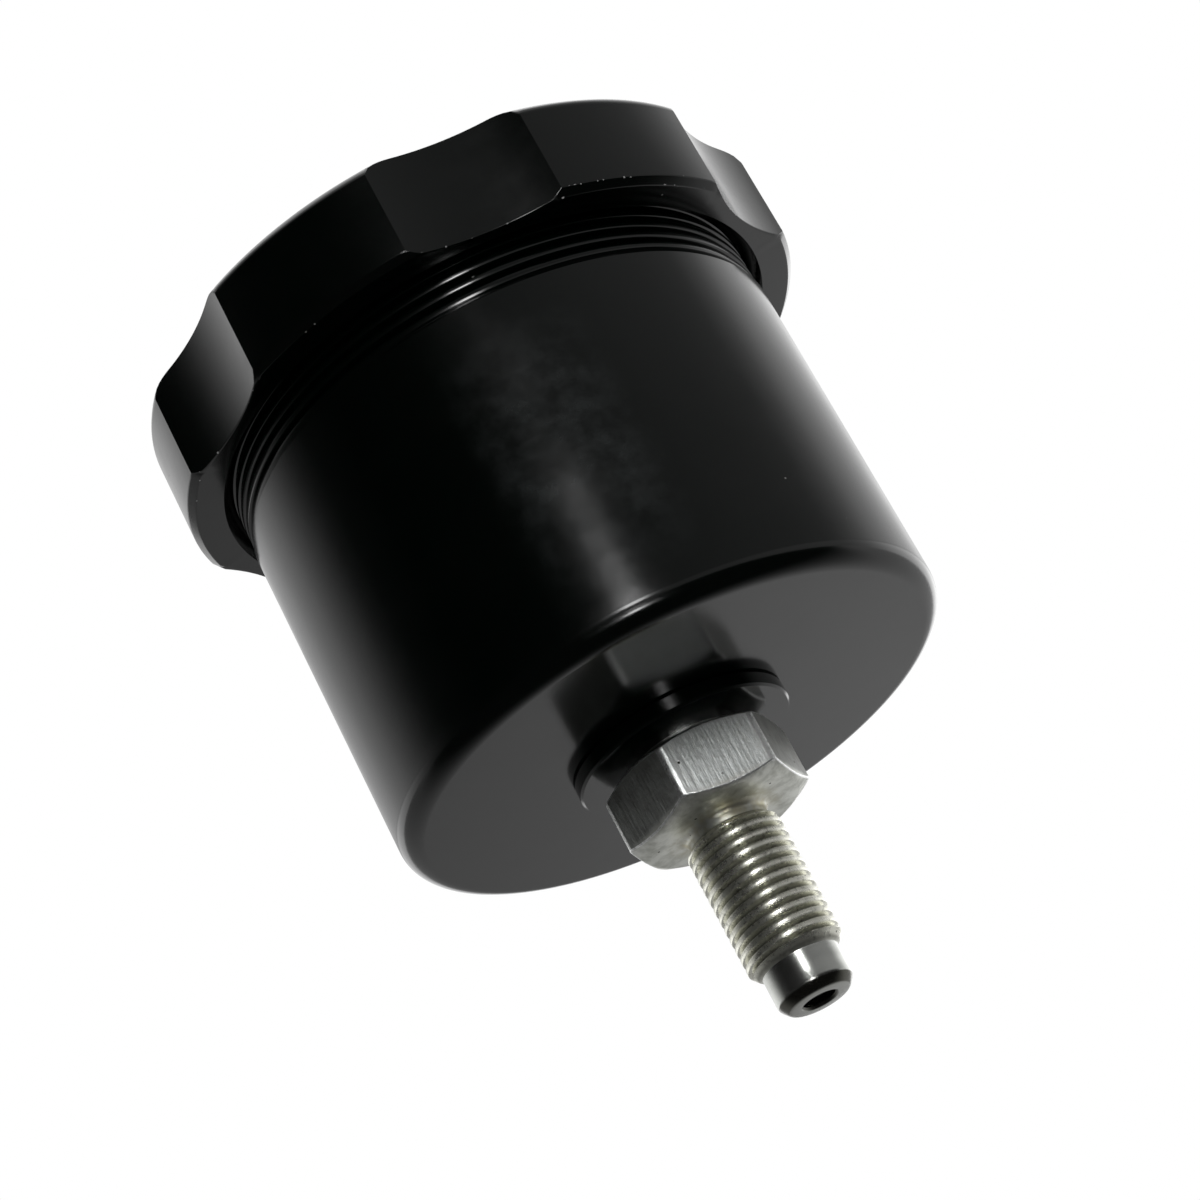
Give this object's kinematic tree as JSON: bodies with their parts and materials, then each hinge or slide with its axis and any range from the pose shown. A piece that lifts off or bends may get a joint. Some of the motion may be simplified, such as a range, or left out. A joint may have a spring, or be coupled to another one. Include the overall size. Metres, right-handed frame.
{
  "type": "screw-cap brake fluid reservoir",
  "caption": "Round turned reservoir for brake fluid: fluted screw cap over a rubber bellows, plain barrel, and a hexagon outlet fitting with a threaded spigot under the base.",
  "frame": {"origin": "on the axis, at the upper end of the outlet's threaded shank, just below the hexagon", "axes": "+Z along the axis, up through the cap; the outlet's threaded spigot points along -Z"},
  "size_m": [0.0762, 0.0762, 0.0933],
  "materials": {
    "black_anodised": "black anodised, satin gloss, fine turning marks",
    "plated_steel": "zinc plated steel, worn bright on the edges",
    "black_rubber": "matt moulded rubber",
    "slip_plastic": "natural acetal, matt"
  },
  "bodies": {
    "reservoir": {"body": "black_anodised", "bellows": "black_rubber", "base_seal": "black_rubber", "base_washer": "black_anodised", "outlet_fitting": "plated_steel"},
    "ring": {"slip_ring": "slip_plastic"},
    "screw_cap": {"cap": "black_anodised"}
  },
  "joints": [
    {"name": "cap_rise", "type": "slide", "parent": "reservoir", "child": "ring", "axis": [0, 0, 1], "range_m": [0, 0.006]},
    {"name": "cap_turn", "type": "hinge", "parent": "ring", "child": "screw_cap", "pos_m": [0, 0, 0.066], "axis": [0, 0, 1], "range_deg": [0, 1440]}
  ],
  "couplings": [
    {"joint": "cap_rise", "follows": "cap_turn", "m_per_rad": 0.00023873}
  ]
}
